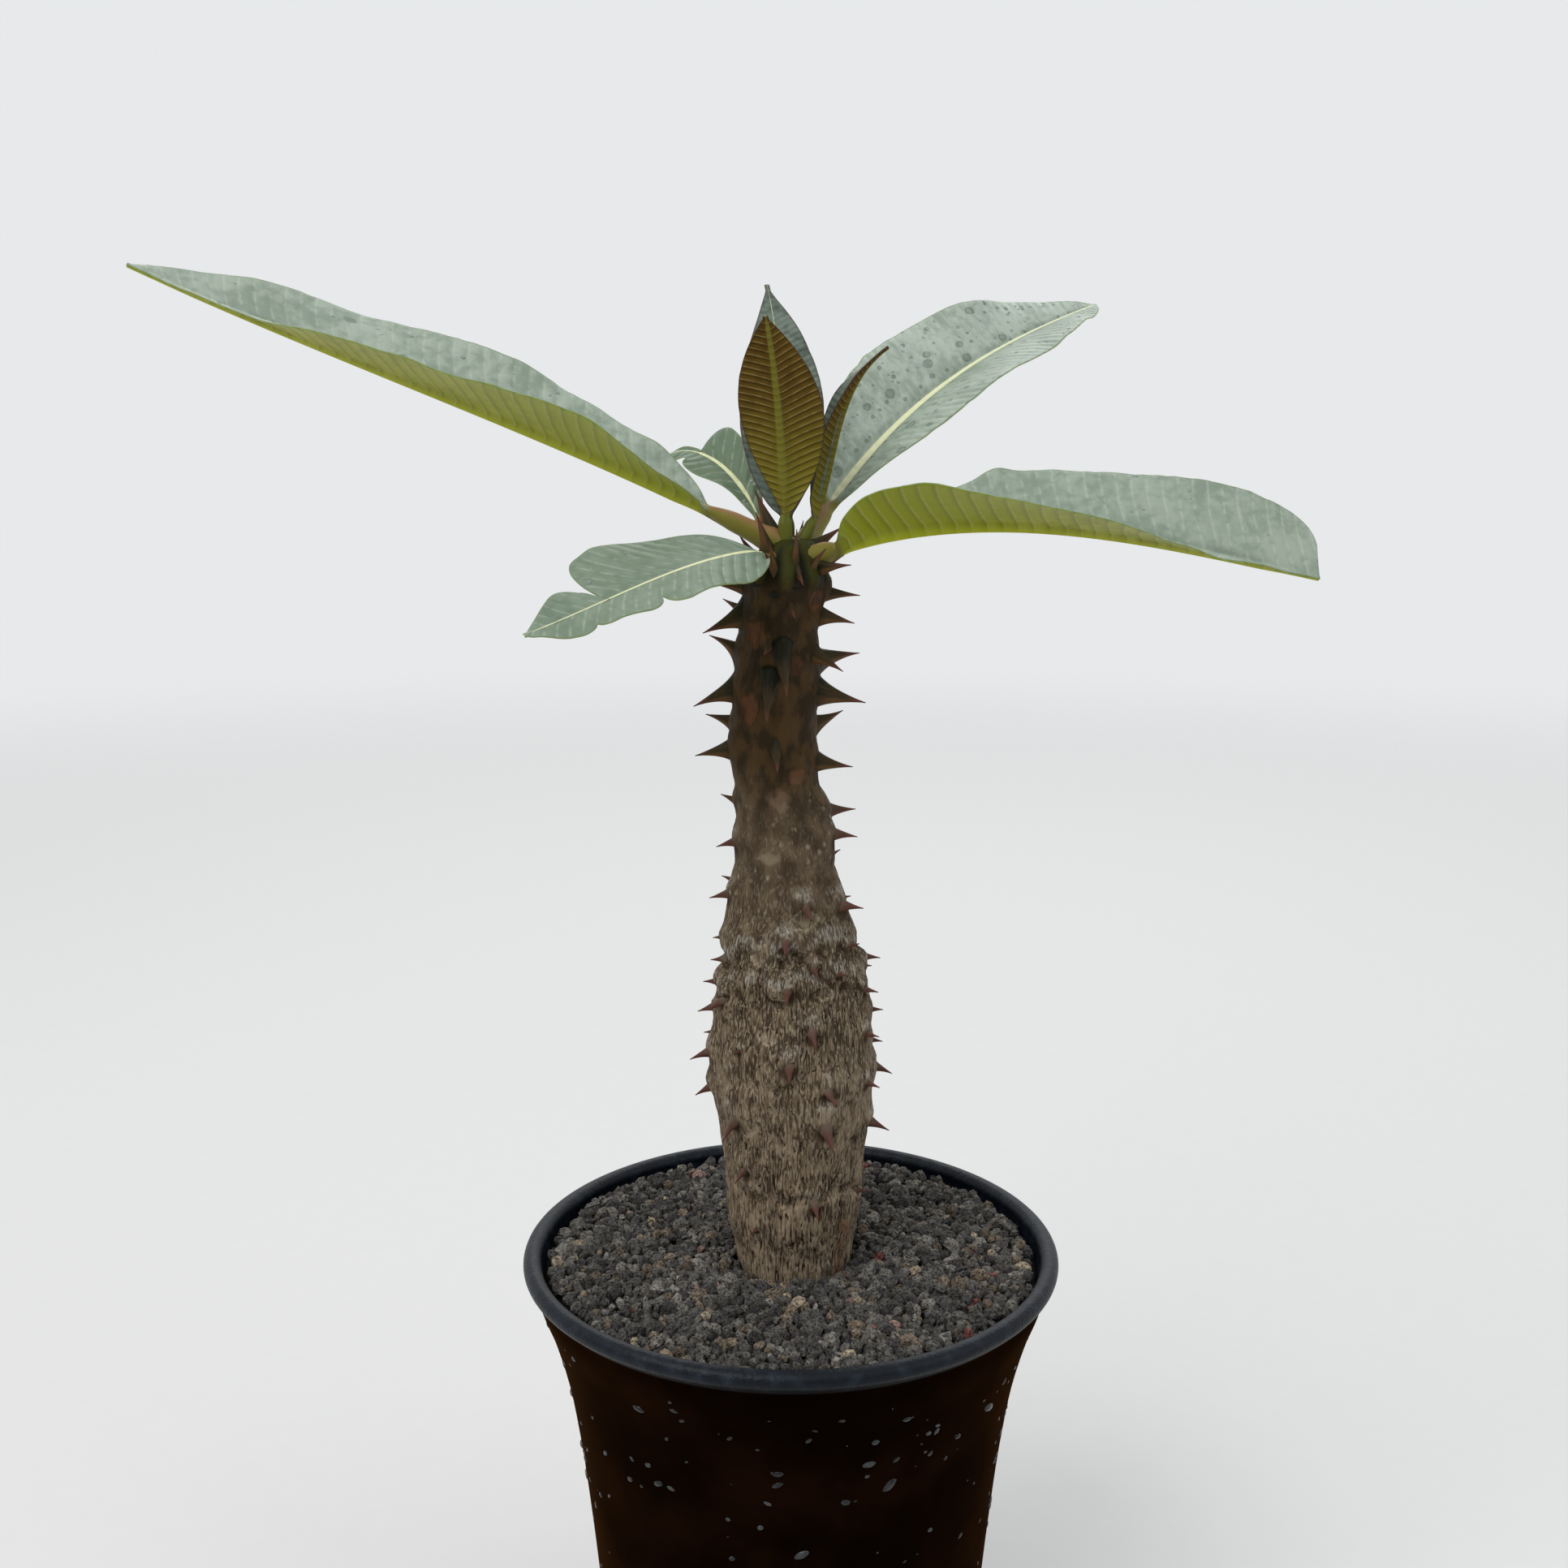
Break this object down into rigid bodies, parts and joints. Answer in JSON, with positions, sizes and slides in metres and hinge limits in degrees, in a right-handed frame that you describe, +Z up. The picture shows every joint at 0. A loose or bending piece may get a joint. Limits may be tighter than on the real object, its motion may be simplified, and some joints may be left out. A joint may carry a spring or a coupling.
{
  "type": "potted pachypodium baronii",
  "caption": "Small caudex plant with a spiny bottle-shaped trunk and a tuft of long folded leaves, in dark gravel in a flared black pot with a rolled rim.",
  "frame": {"origin": "centre of the pot's flat base, on the surface that it stands on", "axes": "+Z up along the pot's axis, -Y towards the viewer of the picture, +X to the viewer's right"},
  "size_m": [0.2405, 0.1613, 0.3404],
  "materials": {
    "pot": "near-black gloss wall with fine water drops, satin rolled rim with a fine leathery texture",
    "gravel": "matt dark grey volcanic grit, with a few brown and dull red grains",
    "bark": "matt grey-brown bark with fine upright fissures, darker and smoother towards the crown, with red-brown spine tips",
    "leaf": "satin grey-green upper side with a cream midrib, and a brighter yellow-green underside with close side veins",
    "young_leaf": "satin, with a bronze-olive underside and pale raised side veins"
  },
  "bodies": {
    "root": {"pot": "pot", "soil": "gravel", "trunk": "bark", "leaf_left_long": "leaf", "leaf_right_low": "leaf", "leaf_right_back": "leaf", "leaf_left_back": "leaf", "leaf_left_front": "leaf", "leaf_young_front": "young_leaf", "leaf_young_back": "young_leaf", "leaf_young_right": "young_leaf"}
  },
  "joints": []
}
